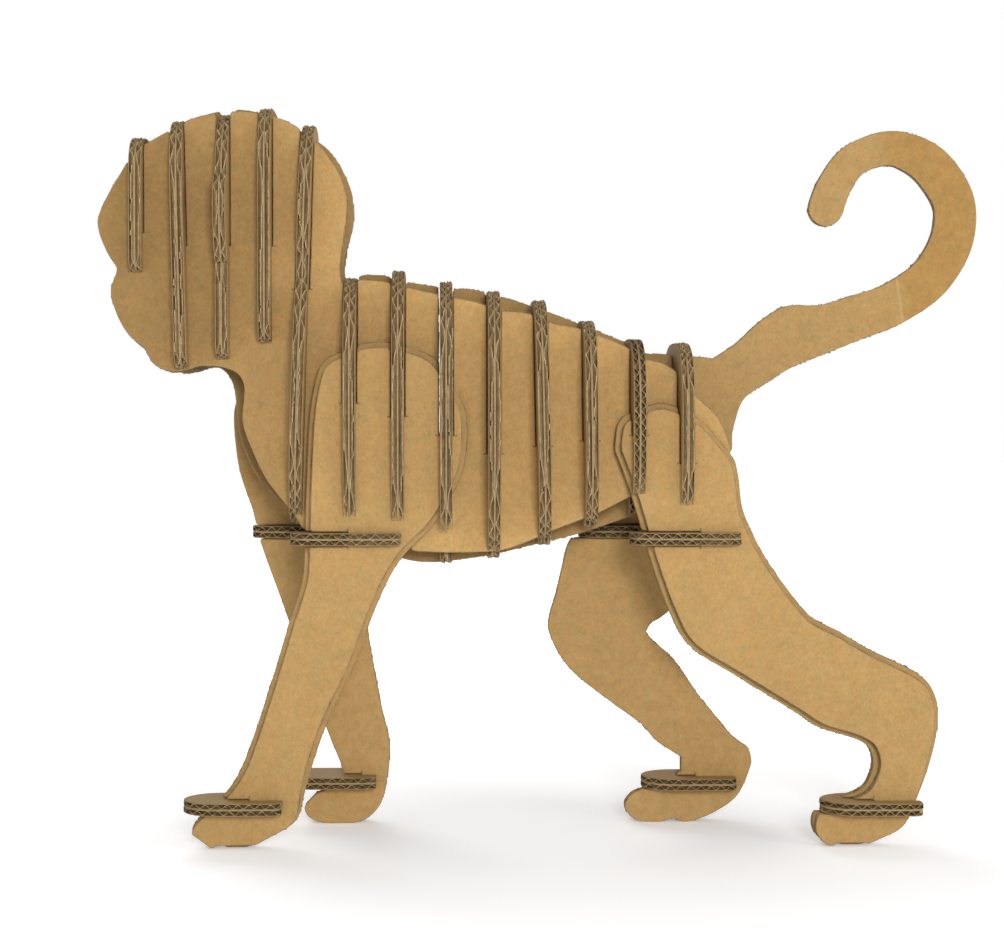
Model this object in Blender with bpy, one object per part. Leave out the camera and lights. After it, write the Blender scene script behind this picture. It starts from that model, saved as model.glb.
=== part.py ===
"""Slot-together board monkey, walking on all fours with its face towards -X.

Eleven boards stand lengthwise (XZ plane): the spine plate at y = 0, a body plate each side, and two
boards for each limb against the body plate. Thirteen ribs drop into them from above, and eight small
level plates push onto the limbs from the front. Millimetres below; the scene is in metres, +Z up,
with the four paws on z = 0.
"""
import math

import bmesh
import bpy

MM = 0.001

# Board: two single-wall sheets glued back to back
BOARD = 6.8
GAP = 0.3            # between boards that lie face to face, and at the end of a slot
SLOT_PLAY = 1.2      # how much wider a slot is than the board in it
FACET = 5.5          # length of one straight facet along a curved outline

# Where the lengthwise boards stand, as distances from the middle of the monkey
BODY_Y = 29.0
LIMB_INNER_Y = BODY_Y + BOARD + GAP
LIMB_OUTER_Y = LIMB_INNER_Y + BOARD + GAP
LIMB_FACE_Y = LIMB_OUTER_Y + BOARD / 2
LIMB_PAIR_Y = (LIMB_INNER_Y + LIMB_OUTER_Y) / 2
LIMB_STEP = 3.0      # how far the outer limb board's edge stands inside the inner one's
FACE_BACKSET = 3.3   # how far the face of a body plate stands behind the spine plate's
STEP_HEIGHT = 45.0   # the step grows from nothing at the floor to its full width here

# Level plates on the limbs
BRACE_Z = 165.0
BRACE_LENGTH = 58.5
BRACE_DEPTH = 26.8
PAW_Z = 24.3
PAW_LENGTH = 52.5
PAW_DEPTH = 38.0

# Ribs: x at z = LEAN_Z, lean in degrees (foot towards +X is positive), lowest and highest point,
# half width, bottom of the slots in the spine and body plates, bottom of those in the limb boards,
# and the sides where it crosses limb boards
LEAN_Z = 250.0
LEFT, RIGHT = -1, 1
HEAD_RIBS = [
    ("brow_rib", -216.0, 0.0, 307, 380, 42, 328, 328, ()),
    ("face_rib", -191.5, 1.3, 256, 389, 46, 321, 321, ()),
    ("ear_rib", -170.0, 0.0, 261, 394, 46, 321, 321, ()),
    ("crown_rib", -147.5, 0.0, 270, 396, 46, 321, 321, ()),
    ("neck_rib", -129.4, -1.8, 171, 388, 56, 298, 222, (RIGHT,)),
]
BODY_RIB_X = -102.4
BODY_RIB_PITCH = 25.6
BODY_RIBS = [
    (0.0, 158, 305, 237, (LEFT, RIGHT)),
    (0.0, 155, 309, 230, (LEFT,)),
    (0.0, 150.5, 303, 220, (LEFT,)),
    (0.0, 153, 298, 210, ()),
    (1.2, 160, 293, 214, ()),
    (0.7, 169.6, 282, 217, ()),
    (0.0, 177, 272, 220, (LEFT, RIGHT)),
    (0.0, 170, 270, 205, (LEFT, RIGHT)),
]
HEAD_RIB_ROUNDNESS = 3.7
HEAD_RIB_FOOT = 9.0  # corner radius at the lower end, where a head rib is cut nearly square
BODY_RIB_ROUNDNESS = 3.1
BODY_RIB_HALF_WIDTH = 56

# Level plates: name, side, front end, end of the slot in the limb, height, length, depth
LEVEL_PLATES = [
    ("left_arm_brace", LEFT, -134.0, -103.5, BRACE_Z, BRACE_LENGTH, BRACE_DEPTH),
    ("right_arm_brace", RIGHT, -160.0, -126.0, BRACE_Z, BRACE_LENGTH, BRACE_DEPTH),
    ("left_thigh_brace", LEFT, 47.0, 84.0, BRACE_Z, BRACE_LENGTH, BRACE_DEPTH),
    ("right_thigh_brace", RIGHT, 24.0, 60.0, BRACE_Z, BRACE_LENGTH, BRACE_DEPTH),
    ("left_wrist_plate", LEFT, -191.0, -156.0, PAW_Z - 1.3, PAW_LENGTH, PAW_DEPTH),
    ("right_wrist_plate", RIGHT, -143.0, -99.0, PAW_Z, PAW_LENGTH, PAW_DEPTH),
    ("left_ankle_plate", LEFT, 149.5, 177.0, PAW_Z - 2.8, PAW_LENGTH, PAW_DEPTH),
    ("right_ankle_plate", RIGHT, 60.0, 90.0, PAW_Z - 1.6, PAW_LENGTH, PAW_DEPTH),
]

# Outlines in (x, z). Each is a chain of smooth runs that meet at corners.
FACE = [
    [(-225, 364), (-234, 349), (-240, 335), (-239, 327), (-235, 318), (-230, 309), (-233, 299),
     (-233, 294), (-229, 282), (-223, 273), (-216, 267), (-210, 258), (-199, 254), (-186, 257)],
]
SPINE_THROAT = [
    [(-186, 257), (-174, 256), (-167, 246), (-165, 225), (-161, 211), (-154, 197), (-140, 182),
     (-124, 172), (-110, 170)],
    [(-110, 170), (-92, 160)],
    [(-92, 160), (-75, 152), (-58, 150), (-39, 152), (-22, 155), (-1, 160), (23, 166), (53, 176)],
    [(53, 176), (78, 184), (97, 197), (106, 212)],
]
SPINE_BACK = [
    [(96, 262), (72, 264), (57, 265), (46, 271), (21, 281), (-6, 291), (-34, 299), (-49, 300),
     (-75, 304), (-85, 307), (-98, 307), (-106.7, 306)],
    [(-106.7, 306), (-106.5, 317), (-102, 334), (-102, 347), (-105, 359), (-115, 375), (-131, 386),
     (-144, 393), (-163, 397), (-179, 395), (-192, 390), (-201, 385), (-208, 380), (-215, 377),
     (-222, 371), (-225, 364)],
]
TAIL_ROOT_LOW = [(106, 212), (106, 219), (108, 228), (113, 240), (128, 250), (139, 257)]
TAIL = [(159, 279, 13.0), (176, 285, 12.2), (193, 291, 11.8), (213, 304, 11.6), (225, 321, 11.6),
        (229, 337, 11.5), (227, 351, 11.4), (216, 367, 11.2), (203, 375, 10.2), (189, 377, 9.2),
        (172, 370, 9.0), (162, 356, 9.3), (157.5, 344, 9.5)]
TAIL_ROOT_HIGH = [(138, 291), (130, 288), (120, 281), (108, 270), (96, 262)]

BODY_THROAT = [
    [(-182.7, 257), (-175, 257), (-164, 254), (-159, 246), (-160, 228), (-156, 215), (-147, 196),
     (-133, 178), (-128, 170)],
    [(-128, 170), (-71, 170)],
    [(-71, 170), (-70, 158)],
    [(-70, 158), (-51, 157), (-23, 158), (-7, 163), (8, 169.5), (30, 178), (44, 185), (55, 190),
     (74, 194), (90, 200), (98, 206), (102, 213)],
]
BODY_BACK = [
    [(102, 213), (95, 229), (83, 241), (73, 253), (64, 259), (55, 261), (46, 267), (32, 273),
     (21, 277), (6, 280), (-6, 285), (-23, 287), (-34, 291), (-49, 294), (-72, 299), (-84, 302),
     (-98, 303), (-107, 301)],
    [(-107, 301), (-108, 309), (-106.5, 322), (-104, 342), (-107, 357), (-113, 367), (-120, 376),
     (-129, 383.5), (-142, 389.5), (-160, 392.5), (-176, 391), (-188, 388), (-198, 382.5), (-211, 375),
     (-218, 368), (-221.7, 364)],
]

LEFT_ARM = [
    [(-126, 185), (-124, 227), (-121, 247), (-117, 258), (-108, 264), (-93, 269), (-80, 269),
     (-66, 265), (-57, 260), (-48, 247), (-42, 236), (-40, 224), (-42, 202), (-50, 185),
     (-59, 171), (-73, 157), (-82, 143), (-92, 120), (-101, 96), (-116, 64), (-126, 33),
     (-131, 15), (-143, 7), (-158, 0)],
    [(-158, 0), (-168, 0)],
    [(-168, 0), (-172, 2)],
    [(-172, 2), (-176, 0.5), (-181, 4)],
    [(-181, 4), (-187, 8), (-186, 12), (-181, 18), (-169, 29), (-159, 46), (-145, 87), (-135, 120),
     (-128, 142), (-126.5, 160), (-126, 185)],
]
LEFT_LEG = [
    [(39, 212), (39.3, 219), (40.5, 225.5), (43.5, 230), (48, 232.5), (55, 235), (64, 237),
     (74, 234), (86, 227), (94, 218), (102, 208), (105, 198), (107, 182), (112, 169), (120, 154),
     (132, 137), (144, 123), (159, 115), (176, 105), (202, 92), (211, 81), (213, 67), (210, 49),
     (203, 28), (194, 11), (181, 4), (170, 0)],
    [(170, 0), (161, 0)],
    [(161, 0), (158, 2)],
    [(158, 2), (155, 0.5), (151, 2)],
    [(151, 2), (146, 8), (146, 16), (152, 22), (162, 26), (173, 31), (178, 43), (175, 53),
     (165, 58), (149, 63), (138, 70), (117, 83), (99, 94), (84, 103), (75, 112), (69, 124),
     (63, 139), (57, 157), (48, 187), (39, 212)],
]
RIGHT_ARM = [
    [(-170, 233), (-170, 222), (-167, 199), (-160, 178), (-155, 158), (-143, 124), (-134, 98),
     (-119, 55), (-111, 35), (-109, 28), (-114, 21), (-124, 17), (-131, 9), (-129, 4)],
    [(-129, 4), (-126, 2), (-118, 0)],
    [(-118, 0), (-106, 0)],
    [(-106, 0), (-97, 2), (-91, 7), (-86, 17), (-83, 43), (-88, 68), (-94, 101), (-95, 113),
     (-94, 137), (-91, 166), (-87, 194), (-87, 216), (-91, 239), (-107, 257), (-134, 265),
     (-155, 257), (-166, 246), (-170, 233)],
]
RIGHT_LEG = [
    [(37, 200), (33, 186), (30.5, 174), (19, 160), (15, 147), (11, 130), (7, 116), (8, 105),
     (20, 86), (45, 66)],
    [(45, 66), (59, 56), (68, 46), (82, 37)],
    [(82, 37), (82, 29), (66, 21), (54, 16), (50, 9), (55, 2), (63, 0)],
    [(63, 0), (70, 0)],
    [(70, 0), (78, 2)],
    [(78, 2), (84, 0), (98, 4), (114, 15), (122, 34), (120, 42), (111, 49), (92, 72), (79, 91),
     (65, 104)],
    [(65, 104), (62, 108), (65, 113), (74, 119), (86, 137), (97, 160), (104, 188), (103, 209),
     (91, 227), (69, 235), (52, 231), (41, 217), (37, 200)],
]

# Edges of the two ribs that aren't ovals, as (half width, z) from the top down
EAR_RIB_EDGE = [
    [(0, 394), (16, 392), (31, 385), (41, 373), (46, 358)],
    [(46, 358), (53, 357), (58, 348), (58, 334), (54, 322), (48, 313)],
    [(48, 313), (44, 311), (46, 300), (46, 284), (46, 272), (43, 264), (36, 261), (17, 261),
     (0, 261)],
]
NECK_RIB_EDGE = [
    [(0, 388), (17, 386), (32, 378), (42, 363), (46, 343), (44, 326), (39, 314)],
    [(39, 314), (37, 306), (42, 297), (50, 283), (56, 258), (56, 226), (52, 203), (44, 187),
     (33, 177), (17, 172.5), (0, 171)],
]

FACE_COLOUR = (0.50, 0.33, 0.145, 1.0)
EDGE_COLOUR = (0.36, 0.26, 0.15, 1.0)


def clear_scene():
    """Remove every object that the file starts with."""
    for obj in list(bpy.data.objects):
        bpy.data.objects.remove(obj, do_unlink=True)


def board_material(name, colour):
    """Kraft board: matt, not metallic."""
    material = bpy.data.materials.new(name)
    material.use_nodes = True
    shader = material.node_tree.nodes["Principled BSDF"]
    shader.inputs["Base Color"].default_value = colour
    shader.inputs["Roughness"].default_value = 0.85
    shader.inputs["Metallic"].default_value = 0.0
    return material


def smooth_run(points, facet=FACET):
    """Points along a Catmull-Rom curve through the run, without its last point."""
    if len(points) == 2:
        return [points[0]]
    first, last = points[0], points[-1]
    before = (2 * first[0] - points[1][0], 2 * first[1] - points[1][1])
    after = (2 * last[0] - points[-2][0], 2 * last[1] - points[-2][1])
    knots = [before, *points, after]
    samples = []
    for p0, p1, p2, p3 in zip(knots, knots[1:], knots[2:], knots[3:]):
        steps = max(1, round(math.dist(p1, p2) / facet))
        for step in range(steps):
            t = step / steps
            weights = (
                (-t + 2 * t**2 - t**3) / 2,
                (2 - 5 * t**2 + 3 * t**3) / 2,
                (t + 4 * t**2 - 3 * t**3) / 2,
                (t**3 - t**2) / 2,
            )
            samples.append(tuple(
                sum(weight * knot[axis] for weight, knot in zip(weights, (p0, p1, p2, p3)))
                for axis in (0, 1)))
    return samples


def closed_outline(runs):
    """One closed loop of points from runs that meet at corners."""
    return [point for run in runs for point in smooth_run(run)]


def ribbon_sides(spine):
    """The two edges of a strip that follows (x, z, half width) points, with a round far tip."""
    low, high = [], []
    for index, (x, z, half) in enumerate(spine):
        back = spine[max(index - 1, 0)]
        ahead = spine[min(index + 1, len(spine) - 1)]
        heading = math.atan2(ahead[1] - back[1], ahead[0] - back[0])
        across = (math.sin(heading) * half, -math.cos(heading) * half)
        low.append((x + across[0], z + across[1]))
        high.append((x - across[0], z - across[1]))
    x, z, half = spine[-1]
    tip_turn = (-60, -25, 0, 25, 60)
    tip = [(x + half * math.cos(heading + math.radians(turn)),
            z + half * math.sin(heading + math.radians(turn))) for turn in tip_turn]
    return low + tip, high[::-1]


def spine_outline():
    """Head, body and tail in one board."""
    tail_low, tail_high = ribbon_sides(TAIL)
    tail = [TAIL_ROOT_LOW + tail_low + tail_high + TAIL_ROOT_HIGH]
    return closed_outline(FACE + SPINE_THROAT + tail + SPINE_BACK)


def inset_outline(outline):
    """The outline moved inwards by LIMB_STEP, less near the floor, without loops at tight bends."""
    count = len(outline)
    area = sum(outline[i - 1][0] * outline[i][1] - outline[i][0] * outline[i - 1][1]
               for i in range(count))
    inward = 1.0 if area > 0 else -1.0
    moved = []
    for index, (x, z) in enumerate(outline):
        back, ahead = outline[index - 1], outline[(index + 1) % count]
        run, rise = ahead[0] - back[0], ahead[1] - back[1]
        length = math.hypot(run, rise)
        step = LIMB_STEP * min(1.0, z / STEP_HEIGHT)
        point = (x - inward * rise / length * step, z + inward * run / length * step)
        nearest = min(math.dist(point, other) for other in outline)
        if nearest > step * 0.93:
            moved.append((point[0], max(point[1], 0.0)))
    return moved


def oval(half_width, low, high, roundness, foot, count=44):
    """A rounded rib outline in (y, z): a superellipse, or its upper half above a square foot."""
    middle, half_height = (low + high) / 2, (high - low) / 2
    points = []
    for index in range(count // 2 + 1 if foot else count):
        angle = 2 * math.pi * index / count
        across, up = math.cos(angle), math.sin(angle)
        points.append((
            half_width * math.copysign(abs(across) ** (2 / roundness), across),
            middle + half_height * math.copysign(abs(up) ** (2 / roundness), up)))
    if foot:
        points += [(side * (half_width - foot) + foot * math.cos(math.radians(turn)),
                    low + foot + foot * math.sin(math.radians(turn)))
                   for side, start in ((-1, 180), (1, 270)) for turn in range(start, start + 91, 18)]
    return points


def mirrored(runs):
    """A closed outline from its +Y edge, top to bottom, and the same edge on -Y."""
    edge = closed_outline(runs) + [runs[-1][-1]]
    return edge + [(-y, z) for y, z in edge[-2:0:-1]]


def board_mesh(name, outline, to_world, thickness=BOARD):
    """A board of the outline: to_world turns (u, v, through) into millimetres in the scene."""
    mesh = bpy.data.meshes.new(name)
    work = bmesh.new()
    corners = [work.verts.new([c * MM for c in to_world(u, v, -thickness / 2)]) for u, v in outline]
    front = work.faces.new(corners)
    swept = bmesh.ops.extrude_face_region(work, geom=[front])
    move = [(b - a) * MM for a, b in zip(to_world(0, 0, 0), to_world(0, 0, thickness))]
    moved = [item for item in swept["geom"] if isinstance(item, bmesh.types.BMVert)]
    bmesh.ops.translate(work, verts=moved, vec=move)
    bmesh.ops.recalc_face_normals(work, faces=work.faces)
    work.to_mesh(mesh)
    work.free()
    return mesh


def add_object(name, mesh, material=None, origin=(0.0, 0.0, 0.0)):
    """Link a mesh, modelled in world places, as an object whose origin is at origin."""
    for vertex in mesh.vertices:
        vertex.co = [c - o * MM for c, o in zip(vertex.co, origin)]
    obj = bpy.data.objects.new(name, mesh)
    obj.location = [o * MM for o in origin]
    bpy.context.scene.collection.objects.link(obj)
    if material:
        mesh.materials.append(material)
    return obj


def cut(obj, corners):
    """Cut one slot, given as the eight corners of a box."""
    mesh = bpy.data.meshes.new(obj.name + "_slot")
    work = bmesh.new()
    verts = [work.verts.new([c * MM for c in corner]) for corner in corners]
    for face in ((0, 3, 2, 1), (4, 5, 6, 7), (0, 1, 5, 4), (1, 2, 6, 5), (2, 3, 7, 6), (3, 0, 4, 7)):
        work.faces.new([verts[i] for i in face])
    bmesh.ops.recalc_face_normals(work, faces=work.faces)
    work.to_mesh(mesh)
    work.free()
    cutter = add_object(obj.name + "_slot", mesh)
    cutter.hide_render = True
    cutter.display_type = "WIRE"
    modifier = obj.modifiers.new("slot", "BOOLEAN")
    modifier.operation = "DIFFERENCE"
    modifier.solver = "EXACT"
    modifier.object = cutter


def box(x0, x1, y0, y1, z0, z1):
    """The corners of an upright box."""
    return [(x0, y0, z0), (x1, y0, z0), (x1, y1, z0), (x0, y1, z0),
            (x0, y0, z1), (x1, y0, z1), (x1, y1, z1), (x0, y1, z1)]


def rib_x(rib, z):
    """Where the rib's middle plane is at height z."""
    return rib["x"] - math.tan(math.radians(rib["lean"])) * (z - LEAN_Z)


def leaning_box(rib, y0, y1, z0, z1):
    """A slot for the rib in a lengthwise board, leaning as the rib does."""
    half = (BOARD + SLOT_PLAY) / 2
    corners = []
    for z in (z0, z1):
        x = rib_x(rib, z)
        corners += [(x - half, y0, z), (x + half, y0, z), (x + half, y1, z), (x - half, y1, z)]
    return corners


def all_ribs():
    """Every rib as a dictionary, head first."""
    keys = ("name", "x", "lean", "low", "high", "half_width", "slot", "limb_slot", "limbs")
    ribs = [dict(zip(keys, row), roundness=HEAD_RIB_ROUNDNESS, foot=HEAD_RIB_FOOT)
            for row in HEAD_RIBS]
    for index, (lean, low, high, slot, limbs) in enumerate(BODY_RIBS):
        row = (f"body_rib_{index + 1}", BODY_RIB_X + index * BODY_RIB_PITCH, lean, low, high,
               BODY_RIB_HALF_WIDTH, slot, slot, limbs)
        ribs.append(dict(zip(keys, row), roundness=BODY_RIB_ROUNDNESS, foot=None))
    return ribs


def add_rib(rib, material):
    """A crosswise board with slots, open at the bottom, over the lengthwise boards."""
    edges = {"ear_rib": EAR_RIB_EDGE, "neck_rib": NECK_RIB_EDGE}
    if rib["name"] in edges:
        outline = mirrored(edges[rib["name"]])
    else:
        outline = oval(rib["half_width"], rib["low"], rib["high"], rib["roundness"], rib["foot"])
    lean = math.radians(rib["lean"])

    def to_world(y, z, through):
        rise = z - LEAN_Z
        return (rib["x"] - math.sin(lean) * rise + math.cos(lean) * through, y,
                LEAN_Z + math.cos(lean) * rise + math.sin(lean) * through)

    mesh = board_mesh(rib["name"], outline, to_world)
    obj = add_object(rib["name"], mesh, material, (rib_x(rib, rib["slot"]), 0.0, rib["slot"]))
    half = (BOARD + SLOT_PLAY) / 2
    slots = [(middle - half, middle + half, rib["slot"]) for middle in (0.0, -BODY_Y, BODY_Y)]
    for side in rib["limbs"]:
        edges_y = sorted((side * (BODY_Y + BOARD / 2), side * (LIMB_FACE_Y + SLOT_PLAY / 2)))
        slots.append((*edges_y, rib["limb_slot"]))
    x, low = rib["x"], rib["low"] - 10
    for y0, y1, top in slots:
        cut(obj, box(x - 20, x + 20, y0, y1, low, top + GAP / 2))
    return obj


def add_lengthwise(name, y, outline, ribs, level_plates, material):
    """A board in the XZ plane with the slots for its ribs and level plates."""
    mesh = board_mesh(name, outline, lambda x, z, through: (x, y + through, z))
    obj = add_object(name, mesh, material, (0.0, y, 0.0))
    y0, y1 = y - BOARD, y + BOARD
    depth_key = "limb_slot" if abs(y) > BODY_Y else "slot"
    for rib in ribs:
        cut(obj, leaning_box(rib, y0, y1, rib[depth_key] - GAP / 2, rib["high"] + 3.5))
    half = (BOARD + SLOT_PLAY) / 2
    for _, _, front, slot_end, z, _, _ in level_plates:
        cut(obj, box(front - 5, slot_end + GAP / 2, y0, y1, z - half, z + half))
    return obj


def rounded_front(front, length, depth, middle_y):
    """Outline of a level plate: a full round nose in front, small round corners behind."""
    nose, corner = depth / 2, 5.0
    back = front + length
    points = []
    for turn in range(90, 271, 15):
        angle = math.radians(turn)
        points.append((front + nose * (1 + math.cos(angle)), middle_y + nose * math.sin(angle)))
    for side, start in ((-1, 270), (1, 0)):
        for turn in range(start, start + 91, 30):
            angle = math.radians(turn)
            points.append((back - corner + corner * math.cos(angle),
                           middle_y + side * (nose - corner) + corner * math.sin(angle)))
    return points


def add_level_plate(name, side, front, slot_end, z, length, depth, material):
    """A level board with a slot, open at the back, over the pair of limb boards."""
    middle_y = side * LIMB_PAIR_Y
    outline = rounded_front(front, length, depth, middle_y)
    mesh = board_mesh(name, outline, lambda x, y, through: (x, y, z + through))
    obj = add_object(name, mesh, material, (slot_end, middle_y, z))
    half = (LIMB_FACE_Y - LIMB_INNER_Y + BOARD / 2 + SLOT_PLAY) / 2
    cut(obj, box(slot_end - GAP / 2, front + length + 5, middle_y - half, middle_y + half,
                 z - BOARD, z + BOARD))
    return obj


def build():
    """Make every board."""
    clear_scene()
    face = board_material("kraft_face", FACE_COLOUR)
    edge = board_material("kraft_edge", EDGE_COLOUR)
    ribs = all_ribs()
    add_lengthwise("spine_plate", 0.0, spine_outline(), ribs, [], face)
    body_face = [[(x + FACE_BACKSET, z) for x, z in run] for run in FACE]
    body = closed_outline(body_face + BODY_THROAT + BODY_BACK)
    limbs = {
        "left_arm": (LEFT, LEFT_ARM, "arm", "wrist"), "left_leg": (LEFT, LEFT_LEG, "thigh", "ankle"),
        "right_arm": (RIGHT, RIGHT_ARM, "arm", "wrist"), "right_leg": (RIGHT, RIGHT_LEG, "thigh", "ankle"),
    }
    for side, name in ((LEFT, "left"), (RIGHT, "right")):
        add_lengthwise(f"{name}_body_plate", side * BODY_Y, body, ribs, [], face)
    for name, (side, runs, upper, lower) in limbs.items():
        outline = closed_outline(runs)
        low_x, high_x = min(p[0] for p in outline), max(p[0] for p in outline)
        crossing = [rib for rib in ribs if side in rib["limbs"] and low_x < rib["x"] < high_x]
        level = [row for row in LEVEL_PLATES
                 if row[1] == side and (upper in row[0] or lower in row[0])]
        for board, y, shape in (("inner", LIMB_INNER_Y, outline),
                                ("outer", LIMB_OUTER_Y, inset_outline(outline))):
            add_lengthwise(f"{name}_{board}", side * y, shape, crossing, level, face)
    for rib in ribs:
        add_rib(rib, edge)
    for row in LEVEL_PLATES:
        add_level_plate(*row, edge)


build()
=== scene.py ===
"""Walking monkey of slotted corrugated boards, built board by board from the fixed frame.

Every board is made the way the real one is: two outer liners, a doubled liner in the middle and a
fluted sheet on each side of it, all cut to one outline. Lengths are in metres.
"""

import math
import random

import bpy
import numpy as np
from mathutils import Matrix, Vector
from mathutils.geometry import intersect_line_line_2d


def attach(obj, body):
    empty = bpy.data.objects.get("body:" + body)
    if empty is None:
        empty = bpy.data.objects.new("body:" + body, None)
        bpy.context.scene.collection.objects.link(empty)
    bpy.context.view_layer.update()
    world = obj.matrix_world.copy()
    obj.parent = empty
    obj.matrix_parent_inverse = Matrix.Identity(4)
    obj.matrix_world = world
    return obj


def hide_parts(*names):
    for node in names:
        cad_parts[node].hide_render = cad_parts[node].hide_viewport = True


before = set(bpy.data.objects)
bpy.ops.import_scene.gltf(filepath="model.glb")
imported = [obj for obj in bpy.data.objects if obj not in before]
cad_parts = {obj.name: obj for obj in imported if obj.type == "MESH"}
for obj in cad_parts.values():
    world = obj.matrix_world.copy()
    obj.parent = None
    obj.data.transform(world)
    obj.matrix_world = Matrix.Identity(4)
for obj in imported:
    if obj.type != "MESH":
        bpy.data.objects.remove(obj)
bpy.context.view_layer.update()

bl_info = {
    "name": "Slotted Board Monkey",
    "version": (1, 0, 0),
    "blender": (4, 5, 0),
    "location": "View3D > Sidebar > Board Monkey",
    "description": "Builds the corrugated boards, their materials and the studio",
    "category": "Object",
}

LIMB_BOARDS = [f"{side}_{limb}_{board}" for side in ("left", "right")
               for limb in ("arm", "leg") for board in ("inner", "outer")]
LONG_BOARDS = ["spine_plate", "left_body_plate", "right_body_plate"]
HEAD_RIBS = ["brow_rib", "face_rib", "ear_rib", "crown_rib", "neck_rib"]
BODY_RIBS = [f"body_rib_{index}" for index in range(1, 9)]
BRACES = [f"{side}_{limb}_brace" for side in ("left", "right") for limb in ("arm", "thigh")]
PAWS = [f"{side}_{joint}_plate" for side in ("left", "right") for joint in ("wrist", "ankle")]

X_AXIS, Y_AXIS, Z_AXIS = 0, 1, 2
UP = Vector((0, 0, 1))
SIDEWAYS = Vector((0, 1, 0))

# The material slots of a board
LINER, CUT, FLUTE, TORN = 0, 1, 2, 3

# An outline turns by more than this at a real corner, and by less between the facets of a curve
CORNER_TURN = math.radians(56)
# A corner that turns left by more than this is rounded off; one that turns right by more than
# this, seen as a negative turn, is an inner corner of a slot
OUTWARD_TURN, INWARD_TURN = 0.8, -1.2
# A facet longer than this is a straight cut
STRAIGHT_CUT = 0.009
# The closed end of a slot is shorter than this
SLOT_END = 0.03
# How far the corners of the ribs and the level plates are rounded off
RIB_EASED = 0.0008
# Rounding off takes up at most this share of a corner's side, and a rim this share of a sheet
EASED_SHARE, RIM_SHARE = 0.45, 0.45
# An inset corner is drawn out to a point no further than this limit lets it
MITRE_LIMIT = 0.35
# The level plates were cut freehand, so their flutes run further off the cut
LEVEL_PLATE_SKEW = math.radians(7.0)
# How far in the flutes that run across the monkey are pressed shut
CRUSHED_DEPTH = 0.0045
# How far every finish takes up its bump, and how little bare paper shines
BUMP_STRENGTH, PAPER_SHEEN = 0.8, 0.2
# How high the bumps are on a liner's face, and on cut edges and fluting
LINER_BUMP, EDGE_BUMP = 0.00022, 0.0003
# How many bands one flute is worked out in
BANDS_TO_A_FLUTE = 9
# How far the middle of a band may lie off the mean of its two sides
BAND_MISMATCH = 0.002
# The knife leaves the fluted sheet at most this far in, and at most this far out
DEEPEST_IN, FURTHEST_OUT = -0.0008, 0.0002


class BoardSettings(bpy.types.PropertyGroup):
    """How the double corrugated board is made."""
    liner: bpy.props.FloatProperty(
        name="Liner", description="Thickness of one flat sheet of paper", default=0.00048,
        unit="LENGTH", precision=5)
    medium: bpy.props.FloatProperty(
        name="Medium", description="Thickness of the fluted sheet", default=0.00044,
        unit="LENGTH", precision=5)
    pitch: bpy.props.FloatProperty(
        name="Flute pitch", description="Distance from one flute to the next", default=0.0057,
        unit="LENGTH", precision=4)
    skew: bpy.props.FloatProperty(
        name="Skew", description="Largest angle between the flutes and the cut",
        default=math.radians(1.6), subtype="ANGLE")
    ragged: bpy.props.FloatProperty(
        name="Ragged ends", description="How far each strip of a cut flute ends in or out of the cut",
        default=0.0003, unit="LENGTH", precision=5)
    wander: bpy.props.FloatProperty(
        name="Wander", description="How far the knife wandered through the fluted sheet",
        default=0.00038, unit="LENGTH", precision=5)
    overcut: bpy.props.FloatProperty(
        name="Overcut", description="How far the blade ran past the corners at a slot's end",
        default=0.0013, unit="LENGTH", precision=4)
    blade: bpy.props.FloatProperty(
        name="Blade width", description="Width of an overcut", default=0.00015,
        unit="LENGTH", precision=5)
    rim: bpy.props.FloatProperty(
        name="Rim", description="Width of the browned and worn line along a cut", default=0.00045,
        unit="LENGTH", precision=5)
    eased: bpy.props.FloatProperty(
        name="Eased corners", description="How far the corners of the long boards are rounded off",
        default=0.0022, unit="LENGTH", precision=4)


class FinishSettings(bpy.types.PropertyGroup):
    """Colours of the board and the studio."""
    face: bpy.props.FloatVectorProperty(
        name="Liner colour", description="Outer face of the kraft liner", subtype="COLOR", size=3,
        default=(0.37, 0.229, 0.085), min=0.0, max=1.0)
    speck: bpy.props.FloatVectorProperty(
        name="Speck colour", description="Dark fibres in the liner", subtype="COLOR", size=3,
        default=(0.19, 0.105, 0.045), min=0.0, max=1.0)
    cut: bpy.props.FloatVectorProperty(
        name="Cut colour", description="Cut edge of a liner", subtype="COLOR", size=3,
        default=(0.235, 0.155, 0.070), min=0.0, max=1.0)
    flute: bpy.props.FloatVectorProperty(
        name="Flute colour", description="The fluted sheet inside", subtype="COLOR", size=3,
        default=(0.17, 0.115, 0.055), min=0.0, max=1.0)
    torn: bpy.props.FloatVectorProperty(
        name="Torn colour", description="Fibres where the fluted sheet was cut", subtype="COLOR",
        size=3, default=(0.285, 0.215, 0.115), min=0.0, max=1.0)
    floor: bpy.props.FloatVectorProperty(
        name="Floor colour", description="Plain studio floor", subtype="COLOR", size=3,
        default=(0.86, 0.86, 0.86), min=0.0, max=1.0)


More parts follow.
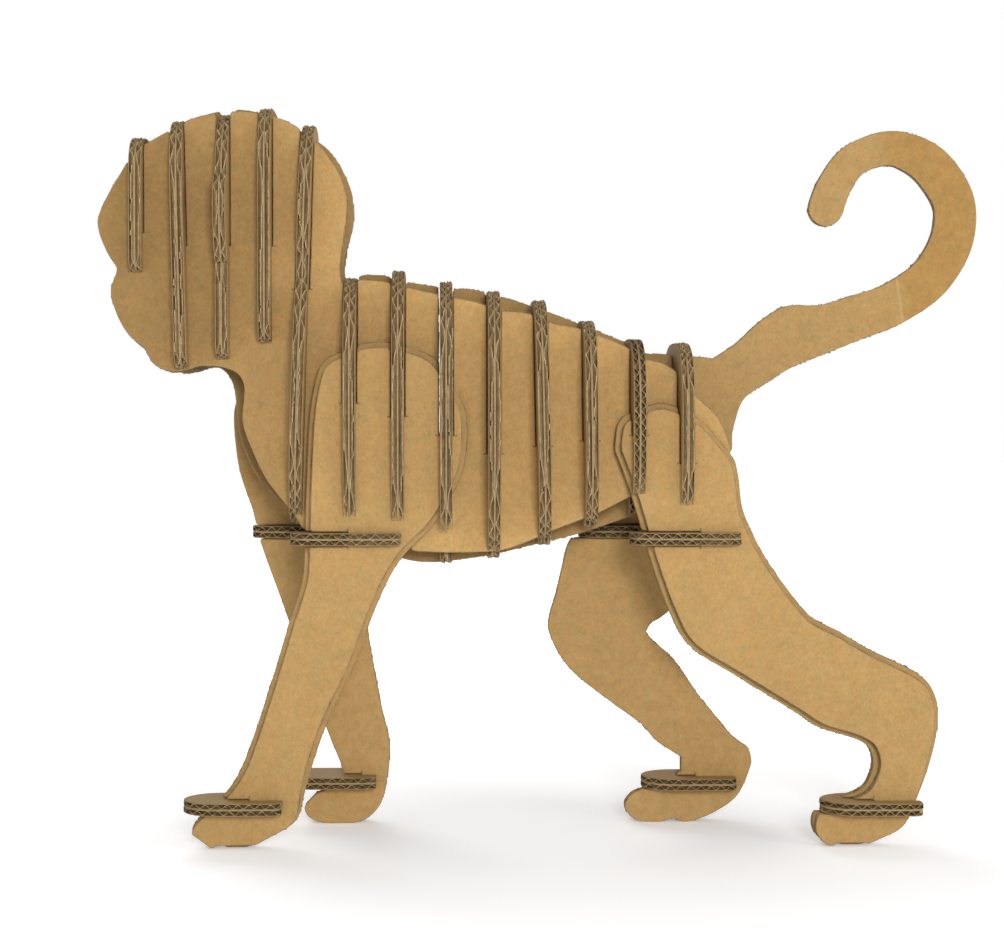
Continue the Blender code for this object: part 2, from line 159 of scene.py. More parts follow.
class Signal:
    """A shader socket that takes part in Python arithmetic."""

    def __init__(self, tree, socket):
        self.tree = tree
        self.socket = socket

    def _math(self, operation, first, second=None):
        inputs = [first] if second is None else [first, second]
        return self.tree.node("ShaderNodeMath", {"operation": operation}, inputs)

    def __add__(self, other):
        return self._math("ADD", self, other)

    __radd__ = __add__

    def __mul__(self, other):
        return self._math("MULTIPLY", self, other)

    def __sub__(self, other):
        return self._math("SUBTRACT", self, other)

    def __rsub__(self, other):
        return self._math("SUBTRACT", other, self)

    def clamped(self):
        """The value held between 0 and 1."""
        return self._math("MINIMUM", self._math("MAXIMUM", self, 0.0), 1.0)

    def spread(self, amount):
        """A noise value turned into one about zero, of a given spread."""
        return (self - 0.5) * amount

    def sine(self):
        """The sine of the value."""
        return self._math("SINE", self)

    def size(self):
        """The value without its sign."""
        return self._math("ABSOLUTE", self)


class ShaderTree:
    """Builds the nodes of one material or of the world."""

    def __init__(self, owner, shader="Principled BSDF"):
        owner.use_nodes = True
        self.owner = owner
        self.nodes = owner.node_tree.nodes
        self.links = owner.node_tree.links
        self.shader = self.nodes[shader]

    def node(self, kind, settings, inputs, output=0):
        """Adds a node: settings first, then the value or link of each socket."""
        made = self.nodes.new(kind)
        for key, value in settings.items():
            setattr(made, key, value)
        pairs = inputs.items() if isinstance(inputs, dict) else enumerate(inputs)
        for key, value in pairs:
            self.feed(made.inputs[key], value)
        return Signal(self, made.outputs[output])

    def feed(self, socket, value):
        """Links a signal to a socket, or sets its value."""
        if isinstance(value, Signal):
            self.links.new(value.socket, socket)
        else:
            socket.default_value = value

    def mix(self, factor, first, second, blend="MIX"):
        """Mixes two colours."""
        return self.node("ShaderNodeMix", {"data_type": "RGBA", "blend_type": blend},
                         {0: factor, 6: first, 7: second}, output=2)

    def coordinate(self, axis):
        """One coordinate of the place."""
        return self.node("ShaderNodeSeparateXYZ", {}, {0: self.place()}, output=axis)

    def place(self):
        """The point on the board, in its own place in the frame."""
        return self.node("ShaderNodeTexCoord", {}, {}, output="Object")

    def shifted(self, shift):
        """The place, moved, for a noise that has nothing to do with another of its scale."""
        return self.node("ShaderNodeVectorMath", {"operation": "ADD"}, {0: self.place(), 1: shift})

    def scaled(self, scale):
        """The place, stretched by a factor on each axis."""
        return self.node("ShaderNodeVectorMath", {"operation": "MULTIPLY"},
                         {0: self.place(), 1: scale})

    def noise(self, scale, detail=3.0, roughness=0.55, vector=None):
        """A noise value, about 0.5 on average."""
        return self.node("ShaderNodeTexNoise", {}, {
            "Vector": vector or self.place(), "Scale": scale, "Detail": detail,
            "Roughness": roughness})

    def finish(self, colour, roughness, height, distance):
        """Connects colour, roughness and a bump to the shader."""
        normal = self.node("ShaderNodeBump", {}, {"Height": height, "Distance": distance,
                                                  "Strength": BUMP_STRENGTH})
        self.feed(self.shader.inputs["Base Color"], colour)
        self.feed(self.shader.inputs["Roughness"], roughness)
        self.feed(self.shader.inputs["Normal"], normal)
        self.shader.inputs["Specular IOR Level"].default_value = PAPER_SHEEN
        return self.owner


def rgba(colour, factor=1.0):
    """A colour with alpha, made lighter or darker by a factor."""
    return (*[min(1.0, part * factor) for part in colour], 1.0)


# How light each kind of board's liner is painted: the spine, limbs and ribs darker than the body
# plates, a painted shade that evens out how lit they look
PAINTED_SHADES_BY_KIND = {"spine": 0.76, "body": 0.99, "limb": 0.865, "rib": 0.90}
# The fold across the tail: x and z of its lower end, x gained for each z, and its height
TAIL_FOLD = (0.2006, 0.279, -0.155, 0.027)
FOLD_HALF_WIDTH, FOLD_END, FOLD_WOBBLE, FOLD_STRENGTH = 0.001, 0.00025, 0.0015, 0.5
# Past the fold the liner is browner; the chest and head are painted darker, a painted shade, from x
# towards the face
TAIL_SHADE = (0.93, 0.86, 0.70)
TAIL_SHADE_SPAN = 0.00625
PAINTED_HEAD_SHADE = (0.60, 0.58, 0.54)
PAINTED_HEAD_SHADE_FROM, PAINTED_HEAD_SHADE_SPAN = -0.06, 0.16


def with_fold(tree, base, paper):
    """The faint pale fold across the tail, and the browner liner past it."""
    start_x, low, slope, height = TAIL_FOLD
    up = tree.coordinate(Z_AXIS) - low
    wobble = tree.noise(160.0, 2.0, 0.5).spread(FOLD_WOBBLE)
    past = tree.coordinate(X_AXIS) - start_x - up * slope + wobble
    outside = (up - height / 2).size() - height / 2
    across = (1.0 - past.size() * (1 / FOLD_HALF_WIDTH)).clamped()
    line = across * (1.0 - outside * (1 / FOLD_END)).clamped()
    base = tree.mix((past * (1 / TAIL_SHADE_SPAN)).clamped(), base, rgba(TAIL_SHADE), "MULTIPLY")
    return tree.mix(line * FOLD_STRENGTH, base, rgba(paper, 1.45))


def liner_material(name, sheet, fibre_axis, across_axis):
    """Kraft liner: cloudy brown, short fibres along the sheet, dark specks, a faint washboard."""
    look = bpy.context.scene.board_finish
    pitch = bpy.context.scene.board_build.pitch
    # The liner's colour carries its kind's painted shade
    paper = tuple(part * PAINTED_SHADES_BY_KIND[sheet] for part in look.face)
    tree = ShaderTree(bpy.data.materials.new(name))
    fibre_scale = [1.0, 1.0, 1.0]
    fibre_scale[fibre_axis] = 0.45
    fibres = tree.noise(1900.0, 3.0, 0.6, tree.scaled(fibre_scale))
    clouds = tree.noise(34.0, 4.0, 0.62)
    blotches = tree.noise(190.0, 3.0, 0.6)
    mottle = tree.noise(470.0, 3.0, 0.6)
    hue = tree.noise(230.0, 3.0, 0.65, tree.shifted((0.31, 0.17, 0.23)))
    specks = ((tree.noise(760.0, 2.0, 0.5, tree.scaled(fibre_scale)) - 0.68) * 14.0).clamped()
    pale = ((tree.noise(980.0, 2.0, 0.5, tree.scaled(fibre_scale)) - 0.67) * 9.0).clamped()
    tone = (clouds.spread(0.5) + blotches.spread(0.9) + mottle.spread(1.1)
            + fibres.spread(1.0) + 0.5)
    base = tree.mix(tone.clamped(), rgba(paper, 0.66), rgba(paper, 1.34))
    warm = tuple(part * share for part, share in zip(paper, (1.10, 0.95, 0.80)))
    green = tuple(part * share for part, share in zip(paper, (0.88, 1.02, 1.06)))
    tint = tree.mix((hue.spread(3.2) + 0.5).clamped(), rgba(warm), rgba(green))
    base = tree.mix(0.42, base, tint)
    base = tree.mix(specks * 0.32, base, rgba(look.speck))
    base = tree.mix(pale * 0.28, base, rgba(paper, 1.55))
    wave = (tree.coordinate(across_axis) * (2 * math.pi / pitch)).sine()
    height = wave * 0.10 + fibres * 0.45 + mottle * 0.35
    # Painted shade: the spine and body plates are made darker towards the head and chest
    if sheet in ("spine", "body"):
        painted_shade = ((PAINTED_HEAD_SHADE_FROM - tree.coordinate(X_AXIS)) * (1 / PAINTED_HEAD_SHADE_SPAN)).clamped()
        base = tree.mix(painted_shade, base, rgba(PAINTED_HEAD_SHADE), "MULTIPLY")
    if sheet == "spine":
        base = with_fold(tree, base, paper)
    roughness = 0.80 + mottle.spread(0.22)
    return tree.finish(base, roughness, height, LINER_BUMP)


def cut_material(name):
    """The cut edge of a liner: darker, torn into fine layers."""
    look = bpy.context.scene.board_finish
    tree = ShaderTree(bpy.data.materials.new(name))
    grain = tree.noise(1500.0, 4.0, 0.65)
    patches = tree.noise(160.0, 3.0, 0.6)
    tone = (grain.spread(1.5) + patches.spread(0.9) + 0.5).clamped()
    base = tree.mix(tone, rgba(look.cut, 0.62), rgba(look.cut, 1.5))
    return tree.finish(base, 0.9 + grain.spread(0.1), grain + patches, EDGE_BUMP)


def torn_material(name):
    """Cut fibres of the fluted sheet: pale, rough, with dirt in places."""
    look = bpy.context.scene.board_finish
    tree = ShaderTree(bpy.data.materials.new(name))
    grain = tree.noise(1100.0, 4.0, 0.65)
    patches = tree.noise(240.0, 3.0, 0.6)
    tone = (grain.spread(1.4) + patches.spread(1.8) + 0.5).clamped()
    base = tree.mix(tone, rgba(look.torn, 0.45), rgba(look.torn, 1.5))
    return tree.finish(base, 0.92 + grain.spread(0.1), grain, EDGE_BUMP)


def flute_material(name, flute_axis):
    """The fluted sheet: brown recycled paper with long fibres."""
    look = bpy.context.scene.board_finish
    tree = ShaderTree(bpy.data.materials.new(name))
    stretch = [1.0, 1.0, 1.0]
    stretch[flute_axis] = 0.3
    grain = tree.noise(1300.0, 4.0, 0.65, tree.scaled(stretch))
    patches = tree.noise(210.0, 3.0, 0.6)
    tone = (grain.spread(1.6) + patches.spread(1.1) + 0.5).clamped()
    base = tree.mix(tone, rgba(look.flute, 0.55), rgba(look.flute, 1.6))
    return tree.finish(base, 0.92 + grain.spread(0.1), grain + patches * 0.6, EDGE_BUMP)


class BoardPlane:
    """The flat outline of a CAD board, read back from its own mesh.

    Points are (s, a): s runs across the flutes and a along them. through is the board's normal.
    """

    def __init__(self, node, flutes):
        mesh = node.data
        areas = {}
        for polygon in mesh.polygons:
            key = tuple(round(c, 2) + 0.0 for c in polygon.normal)
            areas[key] = areas.get(key, 0.0) + polygon.area
        top = max(areas.values())
        key = max(k for k, area in areas.items() if area > 0.98 * top)
        fronts = [p for p in mesh.polygons if p.normal.dot(Vector(key)) > 0.999]
        self.through = sum((p.normal * p.area for p in fronts), Vector()).normalized()
        self.along = (flutes - flutes.dot(self.through) * self.through).normalized()
        self.across = self.along.cross(self.through).normalized()
        depths = [v.co.dot(self.through) for v in mesh.vertices]
        self.low, self.high = min(depths), max(depths)
        self.loop = self._boundary(mesh, fronts)

    def _boundary(self, mesh, fronts):
        """The outline as one anticlockwise list of points."""
        ahead = {}
        for polygon in fronts:
            keys = []
            for index in polygon.vertices:
                place = mesh.vertices[index].co
                keys.append((round(place.dot(self.across), 6), round(place.dot(self.along), 6)))
            for first, second in zip(keys, keys[1:] + keys[:1]):
                if first == second:
                    continue
                if (second, first) in ahead:
                    del ahead[(second, first)]
                else:
                    ahead[(first, second)] = True
        step = {first: second for first, second in ahead}
        start = min(step)
        loop, here = [], start
        while True:
            loop.append(here)
            here = step[here]
            if here == start:
                break
        loop = [p for i, p in enumerate(loop) if math.dist(p, loop[i - 1]) > 4e-5]
        area = sum(loop[i - 1][0] * p[1] - p[0] * loop[i - 1][1] for i, p in enumerate(loop))
        return loop if area > 0 else loop[::-1]


def turn_at(back, here, ahead):
    """The change of heading at a point of an outline, positive to the left."""
    first = math.atan2(here[1] - back[1], here[0] - back[0])
    second = math.atan2(ahead[1] - here[1], ahead[0] - here[0])
    return (second - first + math.pi) % (2 * math.pi) - math.pi


def smooth_outline(loop, step=0.0013):
    """The outline with its straight facets turned into a curve between its real corners.

    Returns points and, for each, whether it is a corner.
    """
    count = len(loop)
    sharp = [abs(turn_at(loop[i - 1], loop[i], loop[(i + 1) % count])) > CORNER_TURN
             for i in range(count)]
    points, marks = [], []
    for i in range(count):
        p1, p2 = np.array(loop[i]), np.array(loop[(i + 1) % count])
        p0 = 2 * p1 - p2 if sharp[i] else np.array(loop[i - 1])
        p3 = 2 * p2 - p1 if sharp[(i + 1) % count] else np.array(loop[(i + 2) % count])
        length = np.linalg.norm(p2 - p1)
        # A straight cut isn't bent by its neighbours
        straight = (sharp[i] and sharp[(i + 1) % count]) or length > STRAIGHT_CUT
        steps = 1 if straight else max(1, int(round(length / step)))
        for k in range(steps):
            t = k / steps
            if straight:
                point = p1
            else:
                scale0 = length / max(np.linalg.norm(p1 - p0), 1e-9)
                scale3 = length / max(np.linalg.norm(p3 - p2), 1e-9)
                m1 = ((p1 - p0) * scale0 + (p2 - p1)) / 2
                m2 = ((p2 - p1) + (p3 - p2) * scale3) / 2
                point = ((2 * t**3 - 3 * t**2 + 1) * p1 + (t**3 - 2 * t**2 + t) * m1
                         + (3 * t**2 - 2 * t**3) * p2 + (t**3 - t**2) * m2)
            points.append(tuple(point))
            marks.append(sharp[i] and k == 0)
    return points, marks


def ease_corners(points, marks, reach):
    """The outline with its outward corners rounded off, from reach before to reach after each."""
    count = len(points)
    outward = [marks[i] and turn_at(points[i - 1], points[i], points[(i + 1) % count]) > OUTWARD_TURN
               for i in range(count)]
    corners = [points[i] for i in range(count) if outward[i]]
    out, flags = [], []
    for i, point in enumerate(points):
        if not outward[i]:
            near = min((math.dist(point, corner) for corner in corners), default=1.0)
            if near > reach or marks[i]:
                out.append(point)
                flags.append(marks[i])
            continue
        here, sides = np.array(point), []
        for step in (-1, 1):
            k = i + step
            while math.dist(points[k % count], point) < reach and not marks[k % count]:
                k += step
            side = np.array(points[k % count]) - here
            length = np.linalg.norm(side)
            sides.append(here + side * min(reach / length, EASED_SHARE))
        for t in (0.0, 0.25, 0.5, 0.75, 1.0):
            out.append(tuple((1 - t)**2 * sides[0] + 2 * t * (1 - t) * here + t**2 * sides[1]))
            flags.append(False)
    return out, flags


def untangled(points, reach=12):
    """The outline with each small loop drawn together to the point where it crosses itself."""
    out, count = list(points), len(points)
    for i in range(count):
        for span in range(reach, 1, -1):
            j = (i + span) % count
            meet = intersect_line_line_2d(out[i], out[(i + 1) % count], out[j], out[(j + 1) % count])
            if meet:
                for k in range(1, span + 1):
                    out[(i + k) % count] = tuple(meet)
                break
    return out


def inset(outline, amount):
    """The outline moved into the board by a small amount."""
    out = []
    for i, here in enumerate(outline):
        normals = []
        for first, second in ((outline[i - 1], here), (here, outline[(i + 1) % len(outline)])):
            length = max(math.dist(first, second), 1e-9)
            normals.append(((first[1] - second[1]) / length, (second[0] - first[0]) / length))
        (x0, y0), (x1, y1) = normals
        share = amount / max(1 + x0 * x1 + y0 * y1, MITRE_LIMIT)
        out.append((here[0] + (x0 + x1) * share, here[1] + (y0 + y1) * share))
    return untangled(out)


def add_overcuts(points, marks, length, width):
    """Blade marks that run on past both corners at the closed end of every slot."""
    count = len(points)
    out = []
    inner = [marks[i] and turn_at(points[i - 1], points[i], points[(i + 1) % count]) < INWARD_TURN
             for i in range(count)]
    for i, point in enumerate(points):
        here = Vector(point)
        back, ahead = Vector(points[i - 1]), Vector(points[(i + 1) % count])
        if inner[i] and inner[(i + 1) % count] and (ahead - here).length < SLOT_END:
            along, into = (here - ahead).normalized(), (back - here).normalized()
            out += [here + into * width, here + into * width + along * length,
                    here + along * length, here]
        elif inner[i] and inner[i - 1] and (here - back).length < SLOT_END:
            along, into = (here - back).normalized(), (ahead - here).normalized()
            out += [here, here + along * length, here + along * length + into * width,
                    here + into * width]
        else:
            out.append(here)
    return [tuple(p) for p in out]


def wandering(outline, dice, amount, stride=0.003):
    """The outline as the knife left it in the fluted sheet, a little in and a little out."""
    points = []
    for i, here in enumerate(outline):
        ahead = outline[(i + 1) % len(outline)]
        steps = max(1, round(math.dist(here, ahead) / stride))
        points += [(here[0] + (ahead[0] - here[0]) * k / steps,
                    here[1] + (ahead[1] - here[1]) * k / steps) for k in range(steps)]
    out, drift = [], 0.0
    for i, here in enumerate(points):
        back, ahead = points[i - 1], points[(i + 1) % len(points)]
        length = max(math.dist(back, ahead), 1e-9)
        keep = math.exp(-math.dist(back, here) / stride)
        drift = drift * keep + dice.gauss(0, amount) * math.sqrt(1 - keep**2)
        push = min(max(drift, DEEPEST_IN), FURTHEST_OUT)
        out.append((here[0] + (ahead[1] - back[1]) / length * push,
                    here[1] - (ahead[0] - back[0]) / length * push))
    return out


def crossings(points, s):
    """Where the line at s enters and leaves the outline, from low to high."""
    second = np.roll(points, -1, axis=0)
    hit = (points[:, 0] - s) * (second[:, 0] - s) < 0
    first, last = points[hit], second[hit]
    share = (s - first[:, 0]) / (last[:, 0] - first[:, 0])
    return np.sort(first[:, 1] + share * (last[:, 1] - first[:, 1]))


class MeshParts:
    """Vertices and faces of one piece, with a material number for each face."""

    def __init__(self, plane):
        self.plane = plane
        self.verts = []
        self.faces = []
        self.slots = []

    def add(self, verts, *faces_and_slots):
        """Adds a shape made of (s, a, depth) points: lists of faces, each with its material."""
        base = len(self.verts)
        self.verts += verts
        for faces, slot in zip(faces_and_slots[::2], faces_and_slots[1::2]):
            self.faces += [tuple(base + i for i in face) for face in faces]
            self.slots += [slot] * len(faces)

    def slab(self, outline, low, high, rim=0.0):
        """A flat sheet of the outline between two depths.

        A rim wears the edge of the outer face: of the high one, or of the low one if it is below 0.
        """
        rings = [(outline, low), (outline, high)]
        drop = min(abs(rim), RIM_SHARE * (high - low))
        if rim > 0:
            rings[1:] = [(outline, high - drop), (inset(outline, rim), high)]
        elif rim < 0:
            rings[:1] = [(inset(outline, -rim), low), (outline, low + drop)]
        loops = []
        for ring, depth in rings:
            seen, loop = {}, []
            for s, a in ring:
                key = (round(s, 8), round(a, 8))
                if key not in seen:
                    seen[key] = len(self.verts)
                    self.verts.append((s, a, depth))
                loop.append(seen[key])
            loops.append(loop)
        self.faces.append(tuple(dict.fromkeys(reversed(loops[0]))))
        self.faces.append(tuple(dict.fromkeys(loops[-1])))
        self.slots += [LINER, LINER]
        for lower, upper in zip(loops, loops[1:]):
            for i in range(len(outline)):
                face = dict.fromkeys((lower[i - 1], lower[i], upper[i], upper[i - 1]))
                if len(face) > 2:
                    self.faces.append(tuple(face))
                    self.slots.append(CUT)

    def to_object(self, name, materials):
        """A mesh object in the frame."""
        plane = self.plane
        basis = np.array([plane.across, plane.along, plane.through])
        places = np.array(self.verts) @ basis
        places[:, 2] = np.maximum(places[:, 2], 0.0)
        mesh = bpy.data.meshes.new(name)
        mesh.from_pydata(places.tolist(), [], self.faces)
        for material in materials:
            mesh.materials.append(material)
        mesh.polygons.foreach_set("material_index", self.slots)
        mesh.validate()
        mesh.update()
        obj = bpy.data.objects.new(name, mesh)
        bpy.context.scene.collection.objects.link(obj)
        return obj


def add_flutes(parts, outline, low, high, dice, most_skew, crushed):
    """A fluted sheet between two liners, cut to the outline.

    The sheet is worked out in thin bands across the flutes. Its flutes lie at a small angle to the
    board, so that a cut along them wanders from crest to crest. Where crushed isn't 0, the paper
    is pressed shut that far inside each end of a flute.
    """
    board = bpy.context.scene.board_build
    middle, swing = (low + high) / 2, (high - low - board.medium) / 2
    skew = dice.uniform(0.35, 1.0) * most_skew * dice.choice((-1, 1))
    phase = dice.uniform(0, 2 * math.pi)
    turn = np.array([[math.cos(skew), -math.sin(skew)], [math.sin(skew), math.cos(skew)]])
    points = np.array(wandering(outline, dice, board.wander)) @ turn
    back = turn.T
    start, end = points[:, 0].min(), points[:, 0].max()
    bands = np.linspace(start, end, max(8, int((end - start) / board.pitch * BANDS_TO_A_FLUTE)))
    # A line just inside a band's side never runs through the outline's own first or last point
    slim = 1e-7
    half = board.medium / 2
    for s0, s1 in zip(bands, bands[1:]):
        near, mid, far = [crossings(points, s) for s in (s0 + slim, (s0 + s1) / 2, s1 - slim)]
        # A band whose two sides lie in different stretches of the board follows its middle
        alike = len(near) == len(mid) == len(far)
        if not alike or (len(mid) and np.abs((near + far) / 2 - mid).max() > BAND_MISMATCH):
            near = far = mid
        for k in range(0, len(near) - 1, 2):
            a00, a01, a10, a11 = [edge + dice.gauss(0, board.ragged)
                                  for edge in (*near[k:k + 2], *far[k:k + 2])]
            verts = []
            for s, (lo, hi) in ((s0, (a00, a01)), (s1, (a10, a11))):
                depth = middle + swing * math.cos(2 * math.pi * s / board.pitch + phase)
                for a in (lo, hi):
                    flat = np.array([s, a]) @ back
                    verts += [(flat[0], flat[1], depth - half), (flat[0], flat[1], depth + half)]
            # Vertices: 0, 1 low end and 2, 3 high end at s0; 4, 5 and 6, 7 the same at s1
            parts.add(verts, [(0, 2, 6, 4), (1, 5, 7, 3)], FLUTE,
                      [(0, 4, 5, 1), (2, 3, 7, 6), (0, 1, 3, 2), (4, 6, 7, 5)], TORN)
            if crushed:
                depth_in = min(crushed, (a01 - a00 + a11 - a10) / 4)
                for wall_0, wall_1 in ((a00 + depth_in, a10 + depth_in),
                                       (a01 - depth_in, a11 - depth_in)):
                    ends = [np.array(flat) @ back for flat in ((s0, wall_0), (s1, wall_1))]
                    parts.add([(*flat, depth) for flat in ends for depth in (low, high)],
                              [(0, 2, 3, 1)], FLUTE)


def build_board(node_name, body, flutes, materials, eased=RIB_EASED, skew=None, crushed=0.0):
    """One double corrugated board in place of its CAD node."""
    board = bpy.context.scene.board_build
    skew = skew or board.skew
    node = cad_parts[node_name]
    plane = BoardPlane(node, flutes)
    dice = random.Random(node_name)
    smooth, marks = ease_corners(*smooth_outline(plane.loop), eased)
    outline = untangled(add_overcuts(smooth, marks, board.overcut, board.blade))
    outline = [p for i, p in enumerate(outline) if math.dist(p, outline[i - 1]) > 1e-7]
    middle = (plane.low + plane.high) / 2
    parts = MeshParts(plane)
    parts.slab(outline, plane.low, plane.low + board.liner, -board.rim)
    parts.slab(outline, middle - board.liner, middle + board.liner)
    parts.slab(outline, plane.high - board.liner, plane.high, board.rim)
    add_flutes(parts, smooth, plane.low + board.liner, middle - board.liner, dice, skew, crushed)
    add_flutes(parts, smooth, middle + board.liner, plane.high - board.liner, dice, skew, crushed)
    piece = parts.to_object(node_name + "_board", materials)
    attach(piece, body)
    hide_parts(node_name)
    return piece


def material_set(sheet, flute_axis, across_axis):
    """The finishes of a board: liner with its kind's painted shade, cut edge, and fluting along one
    axis.
    """
    axes = "xyz"[flute_axis] + "xyz"[across_axis]
    makers = {
        f"kraft_liner_{sheet}_{axes}":
            lambda name: liner_material(name, sheet, flute_axis, across_axis),
        "cut_edge": cut_material,
        f"fluting_{axes}": lambda name: flute_material(name, flute_axis),
        "torn_edge": torn_material,
    }
    return [bpy.data.materials.get(name) or make(name) for name, make in makers.items()]


class MONKEY_OT_long_boards(bpy.types.Operator):
    """Build the spine plate and the two body plates"""
    bl_idname = "board_monkey.long_boards"
    bl_label = "Spine and Body Plates"

    def execute(self, context):
        for name in LONG_BOARDS:
            sheet = "spine" if name == "spine_plate" else "body"
            build_board(name, "boards", UP, material_set(sheet, Z_AXIS, X_AXIS),
                        context.scene.board_build.eased)
        return {"FINISHED"}


class MONKEY_OT_limb_boards(bpy.types.Operator):
    """Build the paired boards of the arms and legs"""
    bl_idname = "board_monkey.limb_boards"
    bl_label = "Limb Boards"

    def execute(self, context):
        for name in LIMB_BOARDS:
            build_board(name, "boards", UP, material_set("limb", Z_AXIS, X_AXIS),
                        context.scene.board_build.eased)
        return {"FINISHED"}


class MONKEY_OT_head_ribs(bpy.types.Operator):
    """Build the five ribs of the head and neck"""
    bl_idname = "board_monkey.head_ribs"
    bl_label = "Head Ribs"

    def execute(self, context):
        for name in HEAD_RIBS:
            build_board(name, name, UP, material_set("rib", Z_AXIS, Y_AXIS))
        return {"FINISHED"}


class MONKEY_OT_body_ribs(bpy.types.Operator):
    """Build the eight ribs of the body; the seventh was cut with its flutes lying level"""
    bl_idname = "board_monkey.body_ribs"
    bl_label = "Body Ribs"

    def execute(self, context):
        for name in BODY_RIBS:
            if name == "body_rib_7":
                build_board(name, name, SIDEWAYS, material_set("rib", Y_AXIS, Z_AXIS),
                            crushed=CRUSHED_DEPTH)
            else:
                build_board(name, name, UP, material_set("rib", Z_AXIS, Y_AXIS))
        return {"FINISHED"}


class MONKEY_OT_level_plates(bpy.types.Operator):
    """Build the braces on the limbs and the plates at the paws"""
    bl_idname = "board_monkey.level_plates"
    bl_label = "Braces and Paw Plates"

    def execute(self, context):
        for name in BRACES + PAWS:
            build_board(name, name, SIDEWAYS, material_set("rib", Y_AXIS, X_AXIS),
                        skew=LEVEL_PLATE_SKEW, crushed=CRUSHED_DEPTH)
        return {"FINISHED"}


FLOOR_REACH = 9.0
# The floor's painted glow under the monkey, dimmer there as a painted shadow, and away from it, and
# the world's light at and above the horizon
FLOOR_GLOW_IN_PAINTED_SHADOW, FLOOR_GLOW_FAR = (0.22, 0.22, 0.22), (0.76, 0.76, 0.76)
HORIZON, SKY = (1.0, 1.0, 1.0), (0.30, 0.30, 0.30)
# Each light: name, place, side of its square and power
LIGHTS = (
    ("front", (0.2, -2.2, 0.62), 0.45, 36.0),
    ("right", (1.5, -1.4, 0.8), 0.8, 8.0),
    ("back", (-0.6, 1.8, 1.1), 1.4, 20.0),
)
LIGHT_TARGET = (0.0, 0.0, 0.2)
CAMERA_PLACE, CAMERA_TARGET = (-0.055, -1.30, 0.233), (-0.0204, 0.0, 0.1991)
CAMERA_LENS = 84.8


def aim(thing, place, target):
    """Puts a light or a camera at a place and turns it to a target."""
    thing.location = place
    thing.rotation_euler = (Vector(target) - Vector(place)).to_track_quat("-Z", "Y").to_euler()
    bpy.context.scene.collection.objects.link(thing)


def floor_material():
    """Matt pale floor with the faintest unevenness, and a painted glow that lights the monkey from
    below, dimmer under it as a painted shadow.
    """
    look = bpy.context.scene.board_finish
    tree = ShaderTree(bpy.data.materials.new("studio_floor"))
    cloud = tree.noise(3.0, 3.0, 0.5)
    base = tree.mix(cloud, rgba(look.floor, 0.985), rgba(look.floor, 1.01))
    away = tree.node("ShaderNodeVectorMath", {"operation": "LENGTH"}, {0: tree.place()}, output=1)
    # Painted glow of the floor, dim near the monkey as a painted shadow
    glow = tree.mix(((away - 0.1) * 2.2).clamped(), rgba(FLOOR_GLOW_IN_PAINTED_SHADOW), rgba(FLOOR_GLOW_FAR))
    tree.feed(tree.shader.inputs["Emission Color"], glow)
    tree.shader.inputs["Emission Strength"].default_value = 1.0
    return tree.finish(base, 0.75 + cloud.spread(0.1), cloud, 0.0001)


def studio_world():
    """A white studio, brightest at the horizon."""
    tree = ShaderTree(bpy.data.worlds.new("studio"), "Background")
    way = tree.node("ShaderNodeTexCoord", {}, {}, output="Generated")
    height = tree.node("ShaderNodeSeparateXYZ", {}, {0: way}, output=2)
    above = ((height - 0.20) * 5.0).clamped()
    tree.feed(tree.shader.inputs["Color"], tree.mix(above, rgba(HORIZON), rgba(SKY)))
    tree.shader.inputs["Strength"].default_value = 1.0
    return tree.owner


def add_light(name, place, side, power):
    """A soft square light aimed at the monkey."""
    data = bpy.data.lights.new(name, "AREA")
    data.shape = "SQUARE"
    data.size = side
    data.energy = power
    aim(bpy.data.objects.new(name, data), place, LIGHT_TARGET)


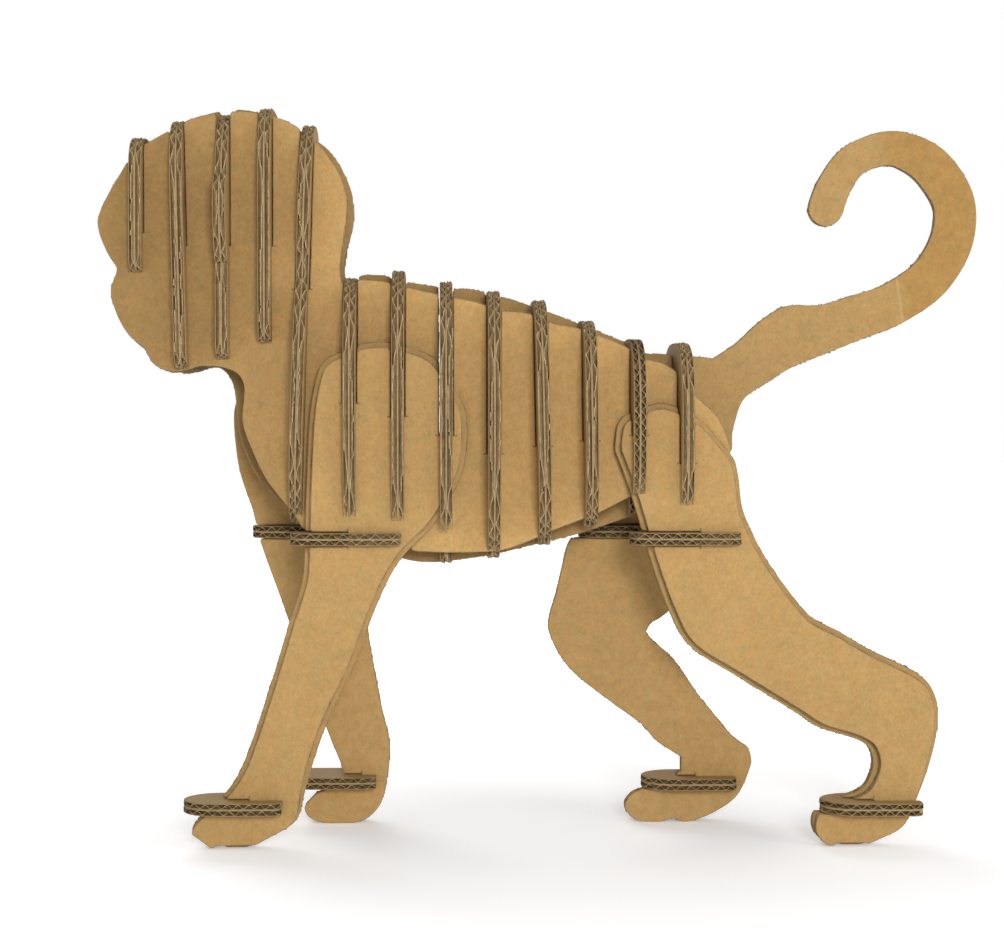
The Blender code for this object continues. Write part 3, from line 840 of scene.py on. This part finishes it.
def add_floor():
    """The flat studio floor."""
    mesh = bpy.data.meshes.new("studio_floor")
    corners = [(-1, -1), (1, -1), (1, 1), (-1, 1)]
    mesh.from_pydata([(x * FLOOR_REACH, y * FLOOR_REACH, 0) for x, y in corners], [],
                     [(0, 1, 2, 3)])
    mesh.materials.append(floor_material())
    floor = bpy.data.objects.new("studio_floor", mesh)
    bpy.context.scene.collection.objects.link(floor)


def add_camera():
    """The camera, looking at the monkey's left side."""
    data = bpy.data.cameras.new("camera")
    data.lens = CAMERA_LENS
    data.sensor_width = 36.0
    camera = bpy.data.objects.new("camera", data)
    aim(camera, CAMERA_PLACE, CAMERA_TARGET)
    bpy.context.scene.camera = camera


class MONKEY_OT_studio(bpy.types.Operator):
    """Add the floor, the soft lights and the camera"""
    bl_idname = "board_monkey.studio"
    bl_label = "Studio"

    def execute(self, context):
        add_floor()
        context.scene.world = studio_world()
        context.scene.view_settings.view_transform = "Standard"
        for light in LIGHTS:
            add_light(*light)
        add_camera()
        return {"FINISHED"}


OPERATORS = (MONKEY_OT_long_boards, MONKEY_OT_limb_boards, MONKEY_OT_head_ribs,
             MONKEY_OT_body_ribs, MONKEY_OT_level_plates, MONKEY_OT_studio)


class MONKEY_PT_panel(bpy.types.Panel):
    """Lists the steps that build the monkey."""
    bl_idname = "MONKEY_PT_panel"
    bl_label = "Board Monkey"
    bl_space_type = "VIEW_3D"
    bl_region_type = "UI"
    bl_category = "Board Monkey"

    def draw(self, context):
        for settings in (context.scene.board_build, context.scene.board_finish):
            for name in settings.bl_rna.properties.keys():
                if name not in ("rna_type", "name"):
                    self.layout.prop(settings, name)
        for operator in OPERATORS:
            self.layout.operator(operator.bl_idname)


CLASSES = (BoardSettings, FinishSettings, *OPERATORS, MONKEY_PT_panel)


def register():
    """Registers the settings, the operators and the panel."""
    for cls in CLASSES:
        bpy.utils.register_class(cls)
    bpy.types.Scene.board_build = bpy.props.PointerProperty(type=BoardSettings)
    bpy.types.Scene.board_finish = bpy.props.PointerProperty(type=FinishSettings)


def unregister():
    """Removes them again."""
    del bpy.types.Scene.board_finish
    del bpy.types.Scene.board_build
    for cls in reversed(CLASSES):
        bpy.utils.unregister_class(cls)


def main():
    """Builds everything in order."""
    register()
    for operator in OPERATORS:
        group, name = operator.bl_idname.split(".")
        getattr(getattr(bpy.ops, group), name)()


if __name__ == "__main__":
    main()
